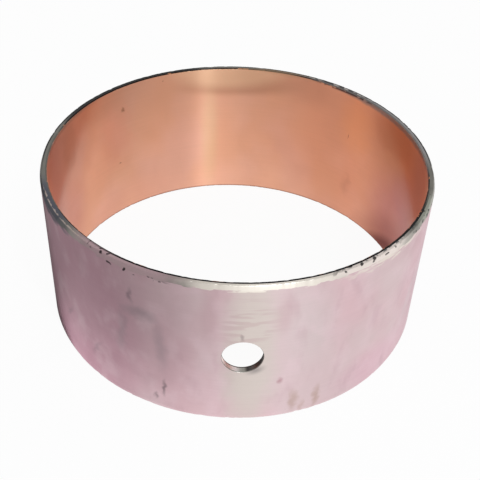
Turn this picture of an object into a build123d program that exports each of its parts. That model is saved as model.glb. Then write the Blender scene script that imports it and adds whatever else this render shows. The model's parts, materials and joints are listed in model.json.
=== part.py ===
"""Steel-backed bronze bushing: a thin shell, the running layer bonded inside it, and one oil hole.

Millimetres and degrees. +Z runs along the bore, the origin is the centre of the lower end face,
and the oil hole opens towards -Y.
"""

import os

from build123d import *

# Driving dimensions
bore_diameter = 135.0  # the bronze running surface
lining_thickness = 0.5  # bronze layer
backing_thickness = 2.0  # steel shell
length = 60.0
lead_in_length = 1.5  # press-in chamfer round the outside of both ends, along the axis
lead_in_angle = 20.0  # between that chamfer and the axis
edge_break = 0.3  # 45 degree break on both edges of the bore
oil_hole_diameter = 13.5

# Radii, built up from the bore through the two layers
bore_radius = bore_diameter / 2
bond_radius = bore_radius + lining_thickness
outer_radius = bond_radius + backing_thickness

# The oil hole is drilled at mid-length from outside as far as the axis,
# so it goes through the front wall alone
oil_hole_mouth = Plane(origin=(0, -outer_radius, length / 2), z_dir=(0, -1, 0))


# Section of the whole wall: both layers are machined together, so its chamfers are cut once
with BuildSketch(Plane.XZ) as wall_section:
    with Locations((bore_radius, 0)):
        Rectangle(lining_thickness + backing_thickness, length, align=Align.MIN)
    bore_side = wall_section.edges().filter_by(Axis.Y).sort_by(Axis.X)[0]
    chamfer(bore_side.vertices(), length=edge_break)
    outer_side = wall_section.edges().filter_by(Axis.Y).sort_by(Axis.X)[-1]
    chamfer(outer_side.vertices(), length=lead_in_length, angle=lead_in_angle, reference=outer_side)

# Steel backing: the wall outside the bond
with BuildPart() as steel_backing:
    with BuildSketch(Plane.XZ):
        add(wall_section.sketch_local)
        with Locations((bond_radius, 0)):
            Rectangle(backing_thickness, length, align=Align.MIN, mode=Mode.INTERSECT)
    revolve(axis=Axis.Z)
    with Locations(oil_hole_mouth):
        Hole(oil_hole_diameter / 2, depth=outer_radius)
steel_backing.part.label = "steel_backing"

# Bronze lining: the wall inside the bond
with BuildPart() as bronze_lining:
    with BuildSketch(Plane.XZ):
        add(wall_section.sketch_local)
        with Locations((bore_radius, 0)):
            Rectangle(lining_thickness, length, align=Align.MIN, mode=Mode.INTERSECT)
    revolve(axis=Axis.Z)
    with Locations(oil_hole_mouth):
        Hole(oil_hole_diameter / 2, depth=outer_radius)
bronze_lining.part.label = "bronze_lining"


os.makedirs("parts", exist_ok=True)
export_step(steel_backing.part, "parts/steel_backing.step")
export_step(bronze_lining.part, "parts/bronze_lining.step")
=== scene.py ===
"""Looks for a steel-backed bronze bushing: a flashed steel shell with a fine-bored bronze lining.

The bushing stands on its end on a white table. Metres, +Z along the bore, oil hole towards -Y.
Places on it are given as degrees round it from the oil hole, towards +X, and millimetres up it.
"""

import json
import math
import random

import bpy
from mathutils import Matrix, Vector, noise


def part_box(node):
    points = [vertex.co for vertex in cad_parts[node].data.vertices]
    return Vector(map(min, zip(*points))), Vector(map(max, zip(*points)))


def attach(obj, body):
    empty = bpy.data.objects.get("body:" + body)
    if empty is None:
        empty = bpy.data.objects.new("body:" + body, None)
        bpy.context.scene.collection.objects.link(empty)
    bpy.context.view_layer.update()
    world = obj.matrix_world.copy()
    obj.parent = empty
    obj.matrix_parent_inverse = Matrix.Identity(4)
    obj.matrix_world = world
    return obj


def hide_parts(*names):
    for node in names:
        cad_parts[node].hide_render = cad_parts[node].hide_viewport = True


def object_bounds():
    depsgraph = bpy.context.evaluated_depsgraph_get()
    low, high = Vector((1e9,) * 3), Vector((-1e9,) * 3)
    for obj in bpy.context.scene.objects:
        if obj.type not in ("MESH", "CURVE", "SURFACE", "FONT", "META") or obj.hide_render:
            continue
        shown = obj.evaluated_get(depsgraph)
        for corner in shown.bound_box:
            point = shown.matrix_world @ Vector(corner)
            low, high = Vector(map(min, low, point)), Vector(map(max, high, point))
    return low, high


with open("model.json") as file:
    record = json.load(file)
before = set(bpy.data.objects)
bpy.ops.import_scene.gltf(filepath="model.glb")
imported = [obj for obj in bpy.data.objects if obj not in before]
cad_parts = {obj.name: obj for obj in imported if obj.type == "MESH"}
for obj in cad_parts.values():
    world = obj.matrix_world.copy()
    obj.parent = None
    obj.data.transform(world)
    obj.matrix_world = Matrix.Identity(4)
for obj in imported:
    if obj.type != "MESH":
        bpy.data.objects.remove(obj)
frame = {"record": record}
cad_low, cad_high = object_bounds()

MM = 0.001

# Sizes, from the frame and from the mounts in its record
mounts = {mount["name"]: mount for mount in frame["record"]["mounts"]}


def mount_size(name, size):
    return mounts[name]["dims"][size] * MM


LENGTH = cad_high.z
OUTER_RADIUS = mount_size("outside_diameter", "r_mm")
BORE_RADIUS = mount_size("bore", "r_mm")
BOND_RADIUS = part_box("bronze_lining")[1].x
LEAD_IN_LENGTH = (LENGTH - mount_size("outside_diameter", "length_mm")) / 2
LEAD_IN_ANGLE = math.radians(20)
LEAD_IN_DEPTH = LEAD_IN_LENGTH * math.tan(LEAD_IN_ANGLE)
EDGE_BREAK = (LENGTH - mount_size("bore", "length_mm")) / 2
HOLE_RADIUS = mount_size("oil_hole", "r_mm")
HOLE_HEIGHT = mounts["oil_hole"]["pos_m"][2]


# ---------------------------------------------------------------- meshes

COLUMNS = 960  # round the wall
HOLE_COLUMNS = 18  # each side of the hole's middle, inside its patch
HOLE_RINGS = 8  # from the patch's border to the hole's edge
HOLE_CROWDING = 1.3  # above 1, those rings lie closer together beside the hole
PLAIN_ROWS = 3  # above and below that patch
SHARP_ANGLE = 14  # degrees between two faces that meet in an edge, not in a curve
EASED = 0.08 * MM  # what handling has rounded off a turned corner
DEBURR = 0.15 * MM  # break on the drilled hole's edges
LONG_WAVES = 6  # of wear, in one radius of the bushing
SHORT_WAVES = 60
DENT_HALF_WIDTHS = (0.5, 1.8)  # millimetres
DENT_DEPTHS = (0.3, 1.0)  # shares of the deepest

COLUMN_ANGLE = 2 * math.pi / COLUMNS
PATCH_HALF_HEIGHT = OUTER_RADIUS * math.sin(HOLE_COLUMNS * COLUMN_ANGLE)


def spread(start, end, steps):
    """Evenly spaced values from start to end, without the start."""
    return [start + (end - start) * step / steps for step in range(1, steps + 1)]


def wall_heights(low, high):
    """Heights up a wall, finely spaced beside the oil hole."""
    patch_low = HOLE_HEIGHT - PATCH_HALF_HEIGHT
    patch_high = HOLE_HEIGHT + PATCH_HALF_HEIGHT
    heights = [low] + spread(low, patch_low, PLAIN_ROWS)
    heights += spread(patch_low, patch_high, 2 * HOLE_COLUMNS)
    return heights + spread(patch_high, high, PLAIN_ROWS)


def on_wall(radius, across, height):
    """The point of the front wall at that distance across it."""
    return Vector((across, -math.sqrt(radius * radius - across * across), height))


class EdgeWear:
    """How far handling has knocked back a turned edge, round its whole length."""

    def __init__(self, seed, waviness, dents, deepest):
        draw = random.Random(seed)
        self.waviness = waviness
        self.offset = 17.0 * seed  # so that each edge has waves of its own
        self.dents = []
        for _ in range(dents):
            centre = draw.uniform(0, 2 * math.pi)
            half_width = draw.uniform(*DENT_HALF_WIDTHS) * MM
            depth = draw.uniform(*DENT_DEPTHS) * deepest
            self.dents.append((centre, half_width, depth))

    def __call__(self, angle):
        place = Vector((math.sin(angle), math.cos(angle), self.offset))
        coarse = noise.noise(place * LONG_WAVES)
        fine = noise.noise(place * SHORT_WAVES)
        worn = self.waviness * max(0.0, 0.5 + 0.5 * coarse + fine)
        for centre, half_width, depth in self.dents:
            away = abs(math.remainder(angle - centre, 2 * math.pi)) * OUTER_RADIUS / half_width
            if away < 1:
                worn += depth * (1 - away * away) ** 2
        return worn


def no_wear(angle):
    return 0.0


class RingMesh:
    """A turned ring whose front wall is drilled for the oil hole."""

    def __init__(self):
        self.points = []
        self.faces = []

    def add(self, point):
        self.points.append(point)
        return len(self.points) - 1

    def band(self, lower, upper, closed=True):
        """Quads between two rows of points."""
        count = len(lower)
        for here in range(count if closed else count - 1):
            after = (here + 1) % count
            self.faces.append((lower[here], lower[after], upper[after], upper[here]))

    def row(self, radius, height, wear=no_wear, inwards=0.0, upwards=0.0):
        """One circle of points, starting in the middle of the front wall and moved where it is worn."""
        points = []
        for column in range(COLUMNS):
            angle = column * COLUMN_ANGLE
            worn = wear(angle)
            reach = radius - inwards * worn
            point = Vector((reach * math.sin(angle), -reach * math.cos(angle), height + upwards * worn))
            points.append(self.add(point))
        return points

    def patch(self, rows, radius, hole_radius):
        """Fills the gap left in a wall round the hole, and returns the hole's edge and its bearings."""
        span = [column % COLUMNS for column in range(-HOLE_COLUMNS, HOLE_COLUMNS + 1)]
        bottom = [rows[0][column] for column in span]
        right = [row[span[-1]] for row in rows[1:-1]]
        top = [rows[-1][column] for column in reversed(span)]
        left = [row[span[0]] for row in reversed(rows[1:-1])]
        border = bottom + right + top + left
        steps = range(-HOLE_COLUMNS, HOLE_COLUMNS + 1)
        side_steps = range(-HOLE_COLUMNS + 1, HOLE_COLUMNS)
        bearings = [math.atan2(-HOLE_COLUMNS, step) for step in steps]
        bearings += [math.atan2(step, HOLE_COLUMNS) for step in side_steps]
        bearings += [math.atan2(HOLE_COLUMNS, -step) for step in steps]
        bearings += [math.atan2(-step, -HOLE_COLUMNS) for step in side_steps]
        before = border
        for ring in range(1, HOLE_RINGS + 1):
            share = 1 - (1 - ring / HOLE_RINGS) ** HOLE_CROWDING
            points = []
            for outer, bearing in zip(border, bearings):
                start = self.points[outer]
                across = start.x + (hole_radius * math.cos(bearing) - start.x) * share
                up = HOLE_HEIGHT + hole_radius * math.sin(bearing)
                points.append(self.add(on_wall(radius, across, start.z + (up - start.z) * share)))
            self.band(before, points)
            before = points
        return before, bearings

    def wall(self, radius, heights, hole_radius):
        """A wall with the hole's patch in its front, as its end rows, the hole's edge and its bearings."""
        rows = [self.row(radius, height) for height in heights]
        first = PLAIN_ROWS
        last = PLAIN_ROWS + 2 * HOLE_COLUMNS
        beside = [column % COLUMNS for column in range(HOLE_COLUMNS, COLUMNS - HOLE_COLUMNS + 1)]
        for index in range(len(rows) - 1):
            lower, upper = rows[index], rows[index + 1]
            if first <= index < last:
                self.band([lower[c] for c in beside], [upper[c] for c in beside], closed=False)
            else:
                self.band(lower, upper)
        edge, bearings = self.patch(rows[first : last + 1], radius, hole_radius)
        return rows[0], rows[-1], edge, bearings

    def hole_row(self, radius, bearings):
        """The drilled hole's circle on a cylinder of that radius."""
        points = []
        for bearing in bearings:
            across = HOLE_RADIUS * math.cos(bearing)
            height = HOLE_HEIGHT + HOLE_RADIUS * math.sin(bearing)
            points.append(self.add(on_wall(radius, across, height)))
        return points

    def end(self, start, finish, profile, top):
        """Joins the two walls' end rows across one end face, along (radius, depth, wear, in, down).

        in and down are the shares of the wear by which a point moves inwards and into the length.
        """
        before = start
        for radius, depth, wear, inwards, downwards in profile:
            height = LENGTH - depth if top else depth
            upwards = -downwards if top else downwards
            row = self.row(radius, height, wear, inwards, upwards)
            self.band(before, row)
            before = row
        self.band(before, finish)

    def piece(self, name):
        mesh = bpy.data.meshes.new(name)
        mesh.from_pydata([tuple(point) for point in self.points], [], self.faces)
        mesh.validate()
        mesh.shade_smooth()
        mesh.set_sharp_from_angle(angle=math.radians(SHARP_ANGLE))
        made = bpy.data.objects.new(name, mesh)
        bpy.context.scene.collection.objects.link(made)
        return made


def steel_shell():
    """The backing: ground outside, with a lead-in at both ends, its corners worn by handling."""
    ring = RingMesh()
    clear_of_wear = 0.5 * MM
    foot = LEAD_IN_LENGTH + clear_of_wear
    outer_low, outer_high, outer_edge, bearings = ring.wall(
        OUTER_RADIUS, wall_heights(foot, LENGTH - foot), HOLE_RADIUS + DEBURR
    )
    bond_low, bond_high, bond_edge, _ = ring.wall(BOND_RADIUS, wall_heights(0.0, LENGTH), HOLE_RADIUS)
    crest = OUTER_RADIUS - LEAD_IN_DEPTH
    crest_eased = 1.5 * EASED
    slope = math.tan(LEAD_IN_ANGLE)
    for seed, top, start, finish in ((1, True, outer_high, bond_high), (2, False, outer_low, bond_low)):
        foot_wear = EdgeWear(seed, waviness=0.12 * MM, dents=40, deepest=0.18 * MM)
        crest_wear = EdgeWear(seed + 2, waviness=0.04 * MM, dents=60, deepest=0.14 * MM)
        profile = [
            (OUTER_RADIUS, LEAD_IN_LENGTH + EASED, foot_wear, 0.0, 1.0),
            (OUTER_RADIUS - EASED * slope, LEAD_IN_LENGTH - EASED, foot_wear, 0.0, 1.0),
            (crest + crest_eased * slope, crest_eased, crest_wear, 0.5, 0.8),
            (crest - EASED, 0.0, crest_wear, 1.0, 0.3),
            (crest - clear_of_wear, 0.0, no_wear, 0.0, 0.0),
        ]
        ring.end(start, finish, profile, top)
    break_row = ring.hole_row(OUTER_RADIUS - DEBURR, bearings)
    ring.band(outer_edge, break_row)
    ring.band(break_row, bond_edge)
    return ring.piece("steel_shell")


def bronze_layer():
    """The lining: bored, with a broken edge at both ends, worn by handling too."""
    ring = RingMesh()
    clear_of_wear = 0.4 * MM
    foot = EDGE_BREAK + clear_of_wear
    bond_low, bond_high, bond_edge, bearings = ring.wall(
        BOND_RADIUS, wall_heights(0.0, LENGTH), HOLE_RADIUS
    )
    bore_low, bore_high, bore_edge, _ = ring.wall(
        BORE_RADIUS, wall_heights(foot, LENGTH - foot), HOLE_RADIUS + DEBURR
    )
    for seed, top, start, finish in ((5, True, bond_high, bore_high), (6, False, bond_low, bore_low)):
        wear = EdgeWear(seed, waviness=0.05 * MM, dents=50, deepest=0.18 * MM)
        profile = [
            (BORE_RADIUS + EDGE_BREAK, 0.0, wear, -0.3, 0.6),
            (BORE_RADIUS, EDGE_BREAK, wear, 0.0, 1.0),
        ]
        ring.end(start, finish, profile, top)
    break_row = ring.hole_row(BORE_RADIUS + DEBURR, bearings)
    ring.band(bond_edge, break_row)
    ring.band(break_row, bore_edge)
    return ring.piece("bronze_layer")


# ---------------------------------------------------------------- materials

# In millimetres, as all places on the materials are
TOP = LENGTH / MM
HALF = TOP / 2
WALL = OUTER_RADIUS / MM
BORE = BORE_RADIUS / MM
BOND = BOND_RADIUS / MM
CREST = (OUTER_RADIUS - LEAD_IN_DEPTH) / MM  # where the lead-in meets the end face
HOLE = HOLE_HEIGHT / MM

LINE_DEPTH = 0.02 * MM  # of the ground and bored lines


def linear(hex_colour):
    """An sRGB hex colour as linear RGBA."""
    parts = [int(hex_colour[i : i + 2], 16) / 255 for i in (1, 3, 5)]
    return [c / 12.92 if c <= 0.04045 else ((c + 0.055) / 1.055) ** 2.4 for c in parts] + [1.0]


def add(tree, kind, inputs=(), **settings):
    """One node, with its settings, and its inputs fixed or fed by another node."""
    made = tree.nodes.new(kind)
    for name, value in settings.items():
        setattr(made, name, value)
    for name, value in dict(inputs).items():
        if isinstance(name, int):
            socket = made.inputs[name]
        else:
            socket = next(entry for entry in made.inputs if entry.enabled and entry.name == name)
        if isinstance(value, bpy.types.Node):
            value = next(entry for entry in value.outputs if entry.enabled)
        if isinstance(value, bpy.types.NodeSocket):
            tree.links.new(value, socket)
        else:
            socket.default_value = value
    return made


def new_material(name):
    material = bpy.data.materials.new(name)
    material.use_nodes = True
    material.node_tree.nodes.clear()
    return material, material.node_tree


class Places:
    """Where on the bushing a point is, in millimetres, for one material."""

    def __init__(self, tree, radius, seam_behind):
        self.tree = tree
        self.wall_radius = radius / MM
        metres = add(tree, "ShaderNodeTexCoord").outputs["Object"]
        self.spot = add(tree, "ShaderNodeVectorMath", {0: metres, "Scale": 1 / MM}, operation="SCALE")
        split = add(tree, "ShaderNodeSeparateXYZ", {"Vector": self.spot})
        level = {0: self.spot, 1: (1.0, 1.0, 0.0)}
        level = add(tree, "ShaderNodeVectorMath", level, operation="MULTIPLY")
        self.radius = add(tree, "ShaderNodeVectorMath", {0: level}, operation="LENGTH")
        self.height = split.outputs["Z"]
        from_middle = add(tree, "ShaderNodeMath", {0: self.height, 1: HALF}, operation="SUBTRACT")
        self.from_middle = add(tree, "ShaderNodeMath", {0: from_middle}, operation="ABSOLUTE")
        self.behind = split.outputs["Y"]
        turn = -1.0 if seam_behind else 1.0
        ahead = add(tree, "ShaderNodeMath", {0: split.outputs["Y"], 1: turn}, operation="MULTIPLY")
        side = add(tree, "ShaderNodeMath", {0: split.outputs["X"], 1: -turn}, operation="MULTIPLY")
        angle = add(tree, "ShaderNodeMath", {0: side, 1: ahead}, operation="ARCTAN2")
        along = add(tree, "ShaderNodeMath", {0: angle, 1: self.wall_radius}, operation="MULTIPLY")
        self.unrolled = add(tree, "ShaderNodeCombineXYZ", {"X": along, "Y": self.height})
        self.middle = 0.0 if seam_behind else 180.0

    def ragged(self, size, reach):
        """The unrolled wall, pushed about by up to that reach, to give what is laid by it torn edges."""
        push = self.grain(size, size).outputs["Color"]
        push = {0: push, 1: (2 * reach, 2 * reach, 0.0), 2: (-reach, -reach, 0.0)}
        push = add(self.tree, "ShaderNodeVectorMath", push, operation="MULTIPLY_ADD")
        return add(self.tree, "ShaderNodeVectorMath", {0: self.unrolled, 1: push}, operation="ADD")

    def grain(self, round_mm, up_mm, detail=3.0, roughness=0.5):
        """Noise about that long round the bushing and that tall, without a seam."""
        scale = {0: self.spot, 1: (1 / round_mm, 1 / round_mm, 1 / up_mm)}
        scaled = add(self.tree, "ShaderNodeVectorMath", scale, operation="MULTIPLY")
        noise_inputs = {"Vector": scaled, "Scale": 1.0, "Detail": detail, "Roughness": roughness}
        return add(self.tree, "ShaderNodeTexNoise", noise_inputs)

    def clouds(self, round_mm, up_mm, low, high, start=0.0, end=1.0, detail=3.0):
        """A value that goes from start to end where such noise climbs from low to high."""
        climb = {
            "Value": self.grain(round_mm, up_mm, detail),
            "From Min": low,
            "From Max": high,
            "To Min": start,
            "To Max": end,
        }
        return add(self.tree, "ShaderNodeMapRange", climb, interpolation_type="SMOOTHSTEP")

    def patch(self, where, degrees, height, width, tall, lean=0.0, core=0.0):
        """1 in the core of an oval patch, fading to 0 at its edge. lean tilts it, in degrees.

        where is the unrolled wall, ragged or not, and core is the share of the patch that is even.
        """
        round_wall = math.remainder(math.radians(degrees - self.middle), 2 * math.pi) * self.wall_radius
        place = {
            "Vector": where,
            "Location": (round_wall, height, 0.0),
            "Rotation": (0.0, 0.0, math.radians(lean)),
            "Scale": (width / 2, tall / 2, 1.0),
        }
        centred = add(self.tree, "ShaderNodeMapping", place, vector_type="TEXTURE")
        away = add(self.tree, "ShaderNodeVectorMath", {0: centred}, operation="LENGTH")
        fade = {"Value": away, "From Min": core, "From Max": 1.0, "To Min": 1.0, "To Max": 0.0}
        return add(self.tree, "ShaderNodeMapRange", fade, interpolation_type="SMOOTHSTEP")

    def lay(self, ground, colour, *shares):
        """The colour laid over the ground, by those shares multiplied together."""
        share = shares[0]
        for other in shares[1:]:
            share = add(self.tree, "ShaderNodeMath", {0: share, 1: other}, operation="MULTIPLY")
        blend = {"Factor": share, "A": ground, "B": colour}
        return add(self.tree, "ShaderNodeMix", blend, data_type="RGBA")

    def lay_patches(self, ground, where, marks):
        """Patches laid in turn, stains and painted light, each an oval patch of one colour, by its share.
        """
        for degrees, height, width, tall, lean, core, colour, share in marks:
            stain = self.patch(where, degrees, height, width, tall, lean, core)
            ground = self.lay(ground, linear(colour), stain, share)
        return ground


def lined_metal(tree, colour, roughness, lines, line_strength, stretch):
    """Metal with fine lines cut round it, which draw each light out up the wall by that stretch."""
    bump = {"Height": lines, "Strength": line_strength, "Distance": LINE_DEPTH}
    finish = {
        "Base Color": colour,
        "Metallic": 1.0,
        "Roughness": roughness,
        "Normal": add(tree, "ShaderNodeBump", bump),
        "Anisotropic": stretch,
        "Anisotropic Rotation": 0.25,
        "Tangent": add(tree, "ShaderNodeTangent", direction_type="RADIAL", axis="Z"),
    }
    shader = add(tree, "ShaderNodeBsdfPrincipled", finish)
    add(tree, "ShaderNodeOutputMaterial", {"Surface": shader})


def flash_colour(on, ragged, lines):
    """Copper-tin flash: pink where it is full, paler and greyer where it is thin."""
    flash = on.lay(linear("#e8c8cd"), linear("#e5ced0"), on.clouds(28.0, 40.0, 0.38, 0.62, detail=2.0))

    # Broad tint patches, more purple and darker to the sides: painted shade, as the sides reflect darker
    # surroundings, over real tone of the flash
    tints_and_painted_light = [
        # degrees, height, width, tall, lean, core, colour, share
        (-52, 30, 96, 160, 0, 0.35, "#d0a3b1", 0.88),
        (-57, 4, 50, 44, 0, 0.1, "#dba5b8", 0.5),
        (78, 30, 84, 160, 0, 0.3, "#dab6be", 0.9),
        (44, 8, 60, 26, 0, 0.2, "#ecc6d2", 0.6),
        (18, 44, 26, 60, 0, 0.2, "#e2d2d2", 0.6),
        (60, 27, 9, 44, -24, 0.0, "#dccfd2", 0.35),
        (67, 30, 8, 50, -24, 0.0, "#dfd3d7", 0.35),
        (-17, 30, 20, 120, 0, 0.2, "#d2a9b4", 0.3),
        (56, 56, 50, 20, 0, 0.2, "#cfa9b0", 0.35),
        (-9, 46, 9, 36, 0, 0.2, "#cfabb2", 0.35),
        (10, 48, 9, 24, 0, 0.2, "#d2b2b6", 0.45),
    ]
    flash = on.lay_patches(flash, on.unrolled, tints_and_painted_light)

    # Light and dark mottling, and the thin grey stretch that the oil hole stands in
    flash = on.lay(flash, linear("#f2d8de"), on.clouds(8.0, 11.0, 0.45, 0.68), 0.3)
    flash = on.lay(flash, linear("#c8a2ac"), on.clouds(7.0, 16.0, 0.52, 0.72), 0.25)
    flash = on.lay(flash, linear("#ddd2ca"), on.patch(ragged, 2, 32, 24, 110, core=0.3), 0.85)

    line_tone = add(on.tree, "ShaderNodeMapRange", {"Value": lines, "To Min": 0.94, "To Max": 1.0})
    flash = add(on.tree, "ShaderNodeVectorMath", {0: flash, "Scale": line_tone}, operation="SCALE")

    # Short rub marks above the oil hole
    rubs = on.clouds(8.0, 1.3, 0.48, 0.62, detail=1.0)
    flash = on.lay(flash, linear("#c6a6a9"), rubs, on.patch(on.unrolled, 1, 44, 26, 30, core=0.3), 0.35)

    # A smear like an arch, and smaller stains
    marks = [
        # degrees, height, width, tall, lean, core, colour, share
        (-33.5, 31, 6, 28, -5, 0.0, "#a8969d", 0.4),
        (-28, 41.5, 18, 8, 0, 0.1, "#a39198", 0.5),
        (-22, 29, 7, 30, 4, 0.0, "#a8969d", 0.4),
        (-30.3, 48, 3.4, 9, 4, 0.0, "#7a6a72", 0.5),
        (-21.3, 11, 2.6, 11, -4, 0.0, "#75666b", 0.7),
        (-23.5, 6, 2.4, 5, 12, 0.0, "#75666b", 0.55),
        (-44, 14, 3, 14, -30, 0.0, "#8f7480", 0.3),
        (-57, 20, 3, 12, -34, 0.0, "#8f7480", 0.3),
        (-0.5, 38.6, 1.4, 5, 0, 0.0, "#9c8d8d", 0.6),
        (10.5, 18, 3.5, 4, 0, 0.0, "#b98a92", 0.7),
        (14.8, 7, 5, 15, 0, 0.1, "#bfa295", 0.55),
        (17.5, 3, 3, 10, 0, 0.0, "#c9a9a0", 0.45),
        (21.5, 6, 3.6, 17, 0, 0.0, "#bd9f90", 0.6),
    ]
    flash = on.lay_patches(flash, ragged, marks)

    # Beside the upper lead-in: cream at the right, a painted highlight, and slate at the left, a painted
    # dark reflection
    cream = on.patch(ragged, 42, TOP - 2.6, 54, 3.6, core=0.3)
    flash = on.lay(flash, linear("#f4ece0"), cream, on.clouds(6.0, 1.0, 0.36, 0.5), 0.8)
    slate = on.patch(ragged, -64, TOP - 1.6, 34, 5.4, core=0.5)
    return on.lay(flash, linear("#5c5e6a"), slate, 0.8)


def turned_steel_colour(on, ragged, on_end):
    """Bare turned steel, its rim painted with reflection: bright in front, slate at the left, nearly black
    behind, grey at the right.
    """
    steel = on.lay(linear("#8f8c86"), linear("#b9b4ac"), on.clouds(14.0, 14.0, 0.35, 0.65))

    # On the end face, then on the end face and the lead-in together; nearly black behind and grey to the
    # right on the end face are painted reflection
    end_marks_and_reflections = [
        # degrees, height, width, tall, lean, core, colour, share
        (-140, TOP, 84, 12, 0, 0.7, "#2b2b2e", 0.9),
        (118, TOP, 84, 12, 0, 0.7, "#a6a3a4", 0.85),
        (142, TOP, 40, 12, 0, 0.4, "#d0c6c0", 0.7),
        (163, TOP, 30, 12, 0, 0.3, "#a58a70", 0.7),
    ]
    end_steel = on.lay(steel, linear("#7f7d76"), 0.85)
    steel = on.lay(steel, on.lay_patches(end_steel, ragged, end_marks_and_reflections), on_end)
    # Painted highlight and reflection round the rim: cream and white in front, slate at the left
    rim_highlights_and_shade = [
        # degrees, height, width, tall, lean, core, colour, share
        (-66, TOP, 38, 12, 0, 0.4, "#5c5e6a", 0.9),
        (5, TOP, 64, 12, 0, 0.6, "#f8efe4", 1.0),
        (36, TOP, 44, 12, 0, 0.4, "#fff3ec", 0.9),
        (64, TOP, 26, 12, 0, 0.3, "#b4b7a8", 0.6),
        (-33, TOP, 54, 12, 0, 0.4, "#d6b6bc", 0.85),
    ]
    steel = on.lay_patches(steel, ragged, rim_highlights_and_shade)

    # The edge between end and lead-in: black behind, painted shade along the outline, and a light line at
    # the left, a painted highlight
    outermost = {"Value": on.radius, "From Min": CREST - 0.65, "From Max": CREST - 0.5}
    outermost = add(on.tree, "ShaderNodeMapRange", outermost, interpolation_type="SMOOTHSTEP")
    behind = {"Value": on.behind, "From Min": -14.0, "From Max": 6.0}
    behind = add(on.tree, "ShaderNodeMapRange", behind, interpolation_type="SMOOTHSTEP")
    steel = on.lay(steel, linear("#1b1a1c"), outermost, on_end, behind, 0.95)
    wander = on.clouds(2.2, 2.2, 0.35, 0.65, start=-0.3, end=0.2)
    wander = add(on.tree, "ShaderNodeMath", {0: on.radius, 1: wander}, operation="ADD")
    crest_line = {"Value": wander, "From Min": CREST - 0.4, "From Max": CREST - 0.25}
    crest_line = add(on.tree, "ShaderNodeMapRange", crest_line, interpolation_type="SMOOTHSTEP")
    at_left = on.patch(ragged, -60, TOP, 44, 9, core=0.5)
    steel = on.lay(steel, linear("#d8c6ba"), crest_line, on_end, at_left, 0.7)

    # A black band beside the lining in front, painted shade along the inner edge, and grime in chatter
    # marks on the right
    innermost = {"Value": on.radius, "From Min": BOND + 0.6, "From Max": BOND + 0.45}
    innermost = add(on.tree, "ShaderNodeMapRange", innermost, interpolation_type="SMOOTHSTEP")
    in_front = on.patch(on.unrolled, 14, TOP, 160, 9, core=0.7)
    steel = on.lay(steel, linear("#17161a"), innermost, on_end, in_front)
    wide_chatter = on.clouds(2.2, 2.2, 0.47, 0.55, detail=0.0)
    right_behind = on.patch(on.unrolled, 139, TOP, 44, 9, core=0.4)
    steel = on.lay(steel, linear("#2b2a30"), wide_chatter, right_behind, 0.85)
    chatter = on.clouds(1.4, 1.4, 0.5, 0.6, detail=0.0)
    inner_half = {"Value": on.radius, "From Min": CREST - 0.3, "From Max": CREST - 0.6}
    inner_half = add(on.tree, "ShaderNodeMapRange", inner_half, interpolation_type="SMOOTHSTEP")
    right_in_front = on.patch(on.unrolled, 40, TOP, 56, 9, core=0.4)
    return on.lay(steel, linear("#3a4144"), chatter, inner_half, right_in_front, 0.75)


def bare_share(on, on_end):
    """1 where the flash is off: both ends, the hole's wall, the upper lead-in and flakes below it."""
    lead_in_foot = TOP - LEAD_IN_LENGTH / MM
    flake = on.clouds(4.0, 1.2, 0.35, 0.65, end=0.9)
    near_edge = add(on.tree, "ShaderNodeMath", {0: on.height, 1: flake}, operation="ADD")
    near_edge = {"Value": near_edge, "From Min": lead_in_foot, "From Max": lead_in_foot + 0.4}
    near_edge = add(on.tree, "ShaderNodeMapRange", near_edge, interpolation_type="SMOOTHSTEP")
    off_wall = {"Value": on.radius, "From Min": WALL - 0.02, "From Max": WALL - 0.06}
    off_wall = add(on.tree, "ShaderNodeMapRange", off_wall, interpolation_type="SMOOTHSTEP")
    # The lower lead-in keeps its flash
    above_foot = {"Value": on.height, "From Min": 2.0, "From Max": 3.0}
    above_foot = add(on.tree, "ShaderNodeMapRange", above_foot, interpolation_type="SMOOTHSTEP")
    above_foot = add(on.tree, "ShaderNodeMath", {0: above_foot, 1: on_end}, operation="MAXIMUM")
    off_wall = add(on.tree, "ShaderNodeMath", {0: off_wall, 1: above_foot}, operation="MULTIPLY")
    return add(on.tree, "ShaderNodeMath", {0: near_edge, 1: off_wall}, operation="MAXIMUM")


def edge_chips(on, colour):
    """Black chips, scattered over stretches beside the upper lead-in."""
    chips = on.clouds(1.5, 1.3, 0.62, 0.68, detail=0.0)
    stretches = [
        # degrees, below, width, tall
        (-41, 0.1, 15, 1.8),
        (-30, 2.2, 30, 2.0),
        (34, 0.3, 36, 1.8),
        (64, 1.0, 36, 3.4),
    ]
    for degrees, below, width, tall in stretches:
        stretch = on.patch(on.unrolled, degrees, TOP - below, width, tall, core=0.5)
        colour = on.lay(colour, linear("#231f21"), chips, stretch, 0.9)
    return colour


def oil_hole_light_shade_and_smudge(on, colour):
    """The hole's wall, pale at the left, a painted highlight, and black at the lower right, a painted
    shade, with a smudge below it.
    """
    in_hole = {"Value": on.radius, "From Min": WALL - 0.15, "From Max": WALL - 0.4}
    in_hole = add(on.tree, "ShaderNodeMapRange", in_hole, interpolation_type="SMOOTHSTEP")
    # Painted light on the hole's wall at the left, and painted shade at its lower right
    lit_side = on.patch(on.unrolled, -4, HOLE - 4, 11, 13, core=0.5)
    colour = on.lay(colour, linear("#fff0ee"), in_hole, lit_side)
    shaded_side = on.patch(on.unrolled, 4.4, HOLE - 3.4, 11, 14, core=0.75)
    colour = on.lay(colour, linear("#141213"), in_hole, shaded_side, 0.95)
    smudge = on.patch(on.unrolled, 3.6, HOLE - 6, 9, 4.5, lean=24)
    return on.lay(colour, linear("#8d8584"), smudge, 0.65)


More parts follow.
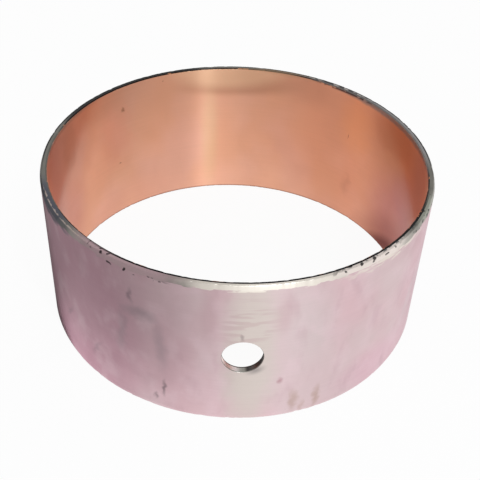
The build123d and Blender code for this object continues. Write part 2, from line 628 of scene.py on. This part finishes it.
def flashed_steel():
    """Ground mild steel with a thin copper-tin flash: dull pink, with each light drawn out up the wall.

    Its ends and its upper lead-in are turned bare, and are grey.
    """
    material, tree = new_material("flashed_steel")
    on = Places(tree, OUTER_RADIUS, seam_behind=True)
    ragged = on.ragged(size=5.0, reach=2.5)
    # Grinding lines, drawn 0.7 mm apart, coarser than the grit's own, so that they show
    lines = on.grain(round_mm=22.0, up_mm=0.7, detail=2.0)
    on_end = {"Value": on.from_middle, "From Min": HALF - 0.2, "From Max": HALF - 0.05}
    on_end = add(tree, "ShaderNodeMapRange", on_end, interpolation_type="SMOOTHSTEP")

    flash = flash_colour(on, ragged, lines)
    steel = turned_steel_colour(on, ragged, on_end)
    colour = on.lay(flash, steel, bare_share(on, on_end))
    colour = edge_chips(on, colour)
    colour = oil_hole_light_shade_and_smudge(on, colour)
    roughness = on.clouds(9.0, 9.0, 0.3, 0.7, start=0.41, end=0.48, detail=4.0)
    lined_metal(tree, colour, roughness, lines, line_strength=0.12, stretch=0.8)
    return material


def bore_colour(on, ragged, lines):
    """Bronze, orange at the foot and browner towards the top."""
    bronze = on.lay(linear("#f0b292"), linear("#f2b8a0"), on.clouds(26.0, 34.0, 0.36, 0.64, detail=2.0))
    # Browner towards the top
    browner_up = {"Value": on.height, "From Min": 22.0, "From Max": 62.0}
    browner_up = add(on.tree, "ShaderNodeMapRange", browner_up, interpolation_type="SMOOTHSTEP")
    bronze = on.lay(bronze, linear("#d9a78a"), browner_up, 0.7)

    # Broad tint patches: lighter at the foot behind, a painted reflection of the white table; brown to dark
    # red down the right side, painted shade and reflection next to where the front rim hides the bore; a
    # pale stripe behind, painted over the key lamp's own highlight
    tints_and_painted_light = [
        # degrees, height, width, tall, lean, core, colour, share
        (130, 30, 110, 130, 0, 0.3, "#e09270", 0.5),
        (172, 3, 84, 34, 0, 0.1, "#ffc0a2", 0.55),
        (-138, 4, 76, 34, 0, 0.1, "#fab89c", 0.6),
        (-106, 50, 44, 44, 0, 0.2, "#dcb4a4", 0.7),
        (106, 50, 62, 60, 0, 0.2, "#b0744c", 0.5),
        (104, 18, 54, 56, 0, 0.2, "#b87276", 0.6),
        (88, 32, 44, 90, 0, 0.1, "#a87c80", 0.5),
        (-94, 42, 40, 90, 0, 0.1, "#c4a0a0", 0.5),
        (-172, 28, 11, 76, 0, 0.2, "#dfbd92", 0.4),
        (-107, 16, 32, 52, 0, 0.1, "#d88f80", 0.5),
        (-126, 57, 42, 24, 0, 0.2, "#c68f74", 0.4),
        (151, 56, 30, 24, 0, 0.2, "#c98f76", 0.4),
        (109, 8, 62, 26, -24, 0.0, "#98504a", 0.6),
        (109, 2.5, 44, 12, -24, 0.1, "#6a2420", 0.85),
    ]
    bronze = on.lay_patches(bronze, on.unrolled, tints_and_painted_light)

    line_tone = add(on.tree, "ShaderNodeMapRange", {"Value": lines, "To Min": 0.97, "To Max": 1.03})
    bronze = add(on.tree, "ShaderNodeVectorMath", {0: bronze, "Scale": line_tone}, operation="SCALE")

    # A painted reflection that hangs from the upper edge behind: a dark line round a paler field
    hanging = on.patch(on.unrolled, 178, 52, 66, 24, core=0.3)
    reflected_line = on.patch(on.unrolled, 181, TOP + 3, 92, 35, core=0.76)
    bronze = on.lay(bronze, linear("#a8785c"), reflected_line, hanging, 0.45)
    paler = on.patch(on.unrolled, 182, TOP + 3, 62, 29, core=0.6)
    bronze = on.lay(bronze, linear("#eec6a2"), paler, 0.6)

    # Smudges, two lighter stretches, a short scratch and specks
    marks = [
        # degrees, height, width, tall, lean, core, colour, share
        (112, 53, 36, 22, 0, 0.5, "#a8623f", 0.25),
        (101, 32, 24, 30, -24, 0.4, "#b8747c", 0.25),
        (133, 17, 6, 18, 0, 0.0, "#b87860", 0.25),
        (-109, 50, 18, 28, 0, 0.4, "#a06648", 0.2),
        (131, 46, 26, 40, 0, 0.2, "#e9a072", 0.6),
        (-134, 38, 24, 40, 0, 0.2, "#eea183", 0.5),
        (134.3, 40, 0.9, 4.5, 10, 0.0, "#7d4a38", 0.7),
        (-137, 50, 2.4, 2.4, 0, 0.0, "#93603f", 0.7),
        (-135.5, 24, 1.6, 1.6, 0, 0.0, "#a06a52", 0.7),
        (-154.5, 57.5, 1.2, 0.9, 0, 0.0, "#93604f", 0.7),
    ]
    bronze = on.lay_patches(bronze, ragged, marks)

    # Just below the upper edge it is scraped to a dull grey, with chatter marks behind at the right
    scrapes = [
        # degrees, height, width, tall, lean, core, colour, share
        (111, TOP, 92, 5.6, 0, 0.5, "#877d79", 0.85),
        (-104, TOP, 84, 4.6, 0, 0.3, "#8f8078", 0.5),
        (160, TOP, 40, 4.0, 0, 0.2, "#c09a7c", 0.5),
    ]
    bronze = on.lay_patches(bronze, on.ragged(size=4.0, reach=0.6), scrapes)
    chatter = on.clouds(2.2, 2.2, 0.42, 0.52, detail=0.0)
    right_behind = on.patch(on.unrolled, 137, TOP, 40, 3.0, core=0.5)
    return on.lay(bronze, linear("#2b2a30"), chatter, right_behind, 0.8)


def lining_end_colour(on, ragged):
    """The end face and the broken edge: nearly black, grey at the sides, a painted reflection, and bronze
    where it is chipped.
    """
    end_colour = on.lay(linear("#2a2322"), linear("#c98a63"), on.clouds(3.5, 3.5, 0.58, 0.62))
    end_marks_and_reflections = [
        # degrees, height, width, tall, lean, core, colour, share
        (-84, TOP, 66, 14, 0, 0.7, "#74746d", 0.9),
        (117, TOP, 90, 14, 0, 0.75, "#8c8886", 0.85),
        (166, TOP, 34, 14, 0, 0.3, "#a58a70", 0.7),
    ]
    return on.lay_patches(end_colour, ragged, end_marks_and_reflections)


def bored_bronze():
    """Fine-bored leaded tin bronze: orange, with lines round it that draw each light out along it."""
    material, tree = new_material("bored_bronze")
    on = Places(tree, BORE_RADIUS, seam_behind=False)
    ragged = on.ragged(size=6.0, reach=3.0)
    # Boring lines, drawn 0.6 mm apart, coarser than the tool's own feed, so that they show
    lines = on.grain(round_mm=30.0, up_mm=0.6, detail=2.0)

    break_foot = HALF - EDGE_BREAK / MM
    at_end = {"Value": on.from_middle, "From Min": break_foot - 0.05, "From Max": break_foot + 0.05}
    at_end = add(tree, "ShaderNodeMapRange", at_end)
    colour = on.lay(bore_colour(on, ragged, lines), lining_end_colour(on, ragged), at_end)

    # The oil hole's wall, painted dark as shade. It lies across the line that the bore is unrolled from, so
    # it is laid twice
    in_wall = {"Value": on.radius, "From Min": BORE + 0.05, "From Max": BORE + 0.2}
    in_wall = add(tree, "ShaderNodeMapRange", in_wall)
    for side in (0, 360):
        round_hole = on.patch(on.unrolled, side, HOLE, 18, 18, core=0.8)
        colour = on.lay(colour, linear("#2a1f1e"), in_wall, round_hole)

    # A dark line along the foot, painted shade where the bore meets the table
    foot = add(tree, "ShaderNodeMapRange", {"Value": on.height, "From Min": 1.0, "From Max": 0.5})
    colour = on.lay(colour, linear("#8c4c38"), foot, 0.6)
    roughness = on.clouds(12.0, 12.0, 0.3, 0.7, start=0.32, end=0.35, detail=4.0)
    lined_metal(tree, colour, roughness, lines, line_strength=0.06, stretch=1.0)
    return material


# ---------------------------------------------------------------- the two pieces

shell = steel_shell()
shell.data.materials.append(flashed_steel())
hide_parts("steel_backing")
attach(shell, "root")

lining = bronze_layer()
lining.data.materials.append(bored_bronze())
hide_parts("bronze_lining")
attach(lining, "root")


# ---------------------------------------------------------------- table and light

TABLE_SIZE = 8.0
TABLE_LIFT = 0.94  # how far the table goes to plain white for the eye; the rest keeps its shadow
BOARD_GREY = 0.92  # where 1 is white
SKY_AT_HORIZON = 0.98
SKY_OVERHEAD = 0.5
STRIP_GREY = 0.01
STRIP_LIFT = 0.2 * MM  # above the table


def toward(degrees, elevation):
    """The direction that many degrees round from the oil hole, at that elevation."""
    across, up = math.radians(degrees), math.radians(elevation)
    return Vector((math.sin(across) * math.cos(up), -math.cos(across) * math.cos(up), math.sin(up)))


def grey(level):
    return (level, level, level, 1.0)


def seen_by_eye_or_metal(tree):
    """1 for a ray from the camera, or one that a glossy or clear surface sends on."""
    path = add(tree, "ShaderNodeLightPath")
    shiny = {0: path.outputs["Is Glossy Ray"], 1: path.outputs["Is Transmission Ray"]}
    shiny = add(tree, "ShaderNodeMath", shiny, operation="MAXIMUM")
    seen = {0: path.outputs["Is Camera Ray"], 1: shiny}
    return add(tree, "ShaderNodeMath", seen, operation="MAXIMUM")


def white_table():
    """Matt white board, lifted most of the way to plain white for the eye, so that its shadow stays."""
    bpy.ops.mesh.primitive_plane_add(size=TABLE_SIZE)
    table = bpy.context.object
    table.name = "table"
    material, tree = new_material("white_table")
    board = add(tree, "ShaderNodeBsdfDiffuse", {"Color": grey(BOARD_GREY)})
    white = add(tree, "ShaderNodeEmission", {"Color": grey(1.0), "Strength": 1.0})
    lift = {0: seen_by_eye_or_metal(tree), 1: TABLE_LIFT}
    lift = add(tree, "ShaderNodeMath", lift, operation="MULTIPLY")
    shader = add(tree, "ShaderNodeMixShader", {0: lift, 1: board, 2: white})
    add(tree, "ShaderNodeOutputMaterial", {"Surface": shader})
    table.data.materials.append(material)


def studio_sky():
    """Nearly white at the horizon, and darker overhead."""
    world = bpy.data.worlds.new("studio")
    bpy.context.scene.world = world
    world.use_nodes = True
    tree = world.node_tree
    tree.nodes.clear()
    toward_sky = add(tree, "ShaderNodeTexCoord").outputs["Generated"]
    upwards = add(tree, "ShaderNodeSeparateXYZ", {"Vector": toward_sky}).outputs["Z"]
    level = {
        "Value": upwards,
        "From Min": 0.0,
        "From Max": 0.9,
        "To Min": SKY_AT_HORIZON,
        "To Max": SKY_OVERHEAD,
    }
    level = add(tree, "ShaderNodeMapRange", level)
    sky = add(tree, "ShaderNodeBackground", {"Color": grey(1.0), "Strength": level})
    add(tree, "ShaderNodeOutputWorld", {"Surface": sky})


def soft_lamp(name, degrees, elevation, distance, width, height, strength, colour):
    lamp = bpy.data.objects.new(name, bpy.data.lights.new(name, "AREA"))
    bpy.context.scene.collection.objects.link(lamp)
    lamp.data.shape = "RECTANGLE"
    lamp.data.size = width
    lamp.data.size_y = height
    lamp.data.energy = strength * width * height * math.pi
    lamp.data.color = colour
    lamp.visible_camera = False
    aim = Vector((0, 0, LENGTH / 2))
    away = toward(degrees, elevation)
    turn = away.to_track_quat("Z", "Y").to_matrix().to_4x4()
    lamp.matrix_world = Matrix.Translation(aim + away * distance) @ turn


def reflected_card(name, corners, faces, greys):
    """A card that only the metal reflects, with a grey for each of its faces."""
    mesh = bpy.data.meshes.new(name)
    mesh.from_pydata([tuple(corner) for corner in corners], [], faces)
    for index, level in enumerate(greys):
        material, tree = new_material(f"{name}_{index}")
        card = add(tree, "ShaderNodeEmission", {"Color": grey(level)})
        add(tree, "ShaderNodeOutputMaterial", {"Surface": card})
        material.cycles.emission_sampling = "NONE"
        mesh.materials.append(material)
        mesh.polygons[index].material_index = index
    made = bpy.data.objects.new(name, mesh)
    bpy.context.scene.collection.objects.link(made)
    made.visible_camera = False
    made.visible_shadow = False
    made.visible_diffuse = False


def grey_screen(name, radius, height, shades):
    """A curved card that stands round the bushing.

    shades gives its grey, where 1 is white, at each number of degrees round it.
    """
    steps = 8  # strips of even grey from one of those places to the next
    edges = [shades[0][0]]
    greys = []
    for (start, first), (finish, last) in zip(shades, shades[1:]):
        for step in range(steps):
            middle = (step + 0.5) / steps
            edges.append(start + (finish - start) * (step + 1) / steps)
            greys.append(first + (last - first) * middle)
    corners = []
    for degrees in edges:
        foot = toward(degrees, 0.0) * radius
        corners += [foot, foot + Vector((0, 0, height))]
    faces = [(2 * s, 2 * s + 2, 2 * s + 3, 2 * s + 1) for s in range(len(greys))]
    reflected_card(name, corners, faces, greys)


def black_strip(name, edges, reach):
    """A strip that lies on the table beside the wall.

    edges gives, for both its edges, where they start at the wall and where they point, in degrees.
    """
    corners = []
    for degrees, heading in edges:
        foot = toward(degrees, 0.0) * OUTER_RADIUS + Vector((0, 0, STRIP_LIFT))
        corners += [foot, foot + toward(heading, 0.0) * reach]
    reflected_card(name, corners, [(0, 1, 3, 2)], [STRIP_GREY])


white_table()
studio_sky()

soft_lamp(
    "key_lamp",
    degrees=23.5,
    elevation=48,
    distance=1.2,
    width=0.05,
    height=0.3,
    strength=60.0,
    colour=(0.85, 0.95, 1.0),
)
soft_lamp(
    "fill_lamp",
    degrees=12,
    elevation=48,
    distance=1.2,
    width=0.35,
    height=0.3,
    strength=4.0,
    colour=(0.9, 0.97, 1.0),
)
left_shades = (
    (0, 0.94),
    (-9, 0.7),
    (-17, 0.63),
    (-25, 0.5),
    (-32, 0.45),
    (-40, 0.42),
    (-89, 0.42),
    (-93, 0.04),
    (-103, 0.04),
    (-107, 0.5),
)
grey_screen("left_screen", radius=95 * MM, height=70 * MM, shades=left_shades)
black_strip("flank_strip", edges=((-57, -132), (-84, -172)), reach=87 * MM)


# ---------------------------------------------------------------- camera

FRAME_PIXELS = 480
FOCAL_PIXELS = 849.5
SENSOR_WIDTH = 36.0  # millimetres, as Blender takes it
CAMERA_DISTANCE = 323.6 * MM
CAMERA_DEGREES = -3.2
CAMERA_ELEVATION = 37.55
CAMERA_PAN = math.radians(0.33)
CAMERA_TILT = math.radians(-1.14)
CAMERA_ROLL = math.radians(2.31)


def studio_camera():
    camera = bpy.data.objects.new("camera", bpy.data.cameras.new("camera"))
    bpy.context.scene.collection.objects.link(camera)
    camera.data.sensor_width = SENSOR_WIDTH
    camera.data.lens = SENSOR_WIDTH * FOCAL_PIXELS / FRAME_PIXELS
    camera.data.clip_start = 0.01
    middle = Vector((0, 0, LENGTH / 2))
    back = toward(CAMERA_DEGREES, CAMERA_ELEVATION)
    turn = (-back).to_track_quat("-Z", "Y").to_matrix().to_4x4()
    # From its aim at the bushing's middle, the camera is tilted, panned and rolled in its own frame
    turn = turn @ Matrix.Rotation(CAMERA_TILT, 4, "X")
    turn = turn @ Matrix.Rotation(-CAMERA_PAN, 4, "Y")
    turn = turn @ Matrix.Rotation(CAMERA_ROLL, 4, "Z")
    camera.matrix_world = Matrix.Translation(middle + back * CAMERA_DISTANCE) @ turn
    bpy.context.scene.camera = camera


studio_camera()

bpy.context.scene.view_settings.view_transform = "Standard"
